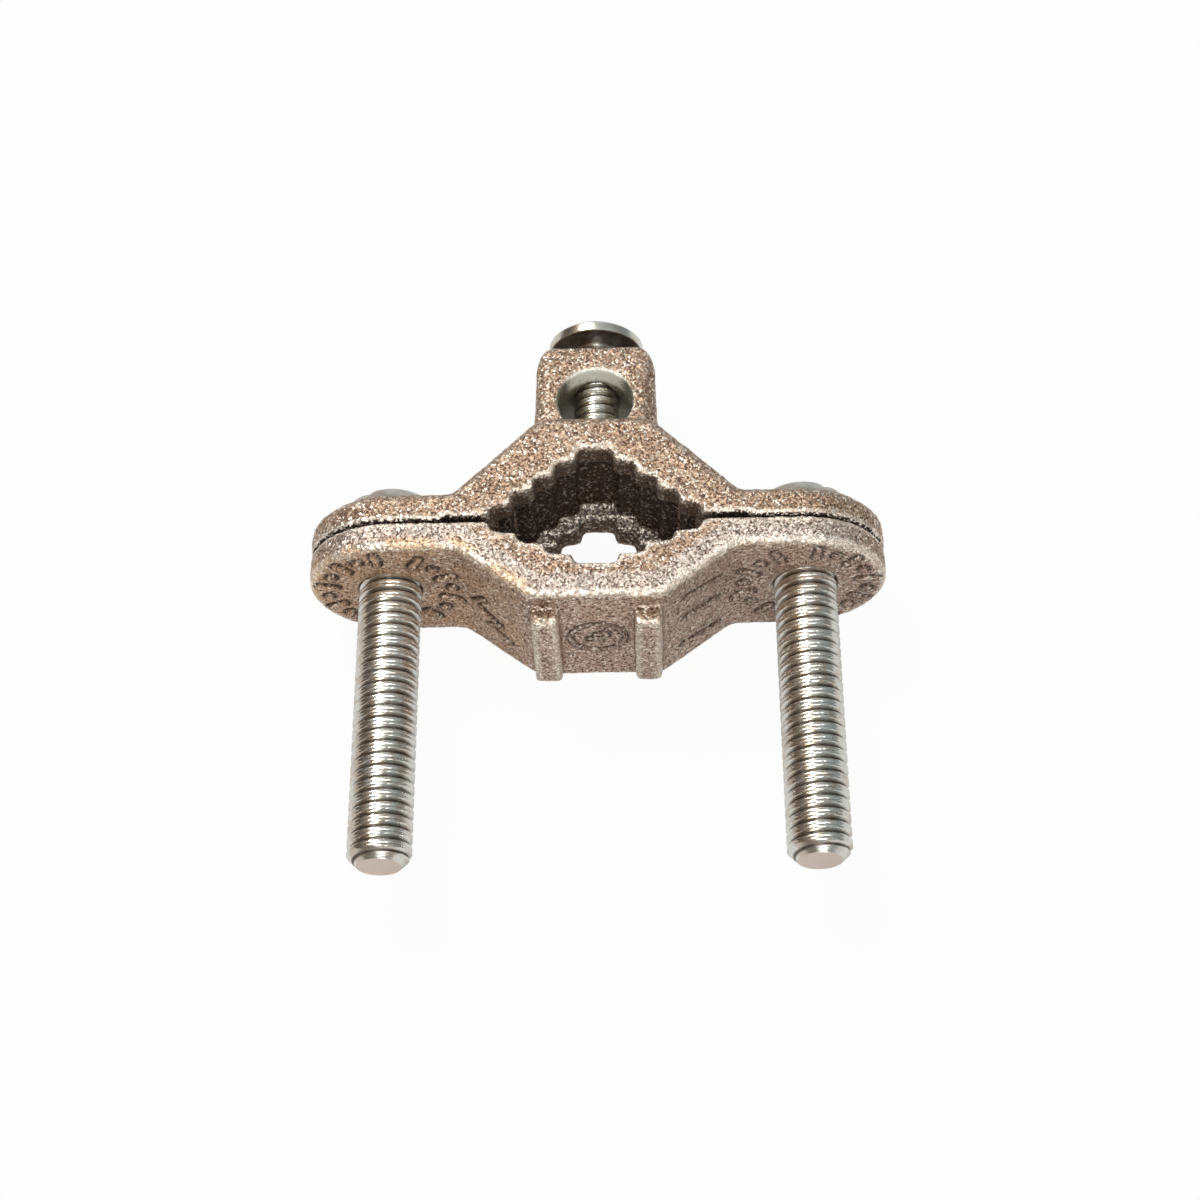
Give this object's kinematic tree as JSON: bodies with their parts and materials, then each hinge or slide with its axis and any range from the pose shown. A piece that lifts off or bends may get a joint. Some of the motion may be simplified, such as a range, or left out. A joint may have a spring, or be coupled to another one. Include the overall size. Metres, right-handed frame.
{
  "type": "earth rod clamp",
  "caption": "Two cast bronze jaws with serrated V grips, drawn together by two long screws round a rod or pipe, with a wire hole and wire screw in a lug.",
  "frame": {"origin": "on the axis of the gripped rod, in the parting plane, half way across the jaws' width", "axes": "+Z along the rod, +X from the left clamp screw to the right one, +Y from the screw tips towards the wire lug"},
  "size_m": [0.0582, 0.0611, 0.0176],
  "materials": {
    "bronze_upper": "sand-cast bronze, grainy, light tarnish",
    "bronze_lower": "sand-cast bronze, grainy, light tarnish",
    "zinc_clamp": "bright zinc-plated steel, rolled thread",
    "zinc_wire": "bright zinc-plated steel, rolled thread"
  },
  "bodies": {
    "upper_jaw": {"upper_jaw": "bronze_upper"},
    "lower_jaw": {"lower_jaw": "bronze_lower"},
    "clamp_screw_left": {"clamp_screw_left": "zinc_clamp"},
    "clamp_screw_right": {"clamp_screw_right": "zinc_clamp"},
    "wire_screw": {"wire_screw": "zinc_wire"}
  },
  "joints": [
    {"name": "jaw_slide", "type": "slide", "parent": "upper_jaw", "child": "lower_jaw", "axis": [0, -1, 0], "range_m": [0, 0.028]},
    {"name": "left_screw_turn", "type": "hinge", "parent": "upper_jaw", "child": "clamp_screw_left", "pos_m": [-0.021, 0, 0], "axis": [0, 1, 0], "range_deg": [0, 7938]},
    {"name": "right_screw_turn", "type": "hinge", "parent": "upper_jaw", "child": "clamp_screw_right", "pos_m": [0.021, 0, 0], "axis": [0, 1, 0], "range_deg": [0, 7938]},
    {"name": "wire_screw_slide", "type": "slide", "parent": "upper_jaw", "child": "wire_screw", "axis": [0, 1, 0], "range_m": [-0.0001, 0.0073]}
  ],
  "couplings": [
    {"joint": "left_screw_turn", "follows": "jaw_slide", "rad_per_m": 4947.4},
    {"joint": "right_screw_turn", "follows": "jaw_slide", "rad_per_m": 4947.4}
  ]
}
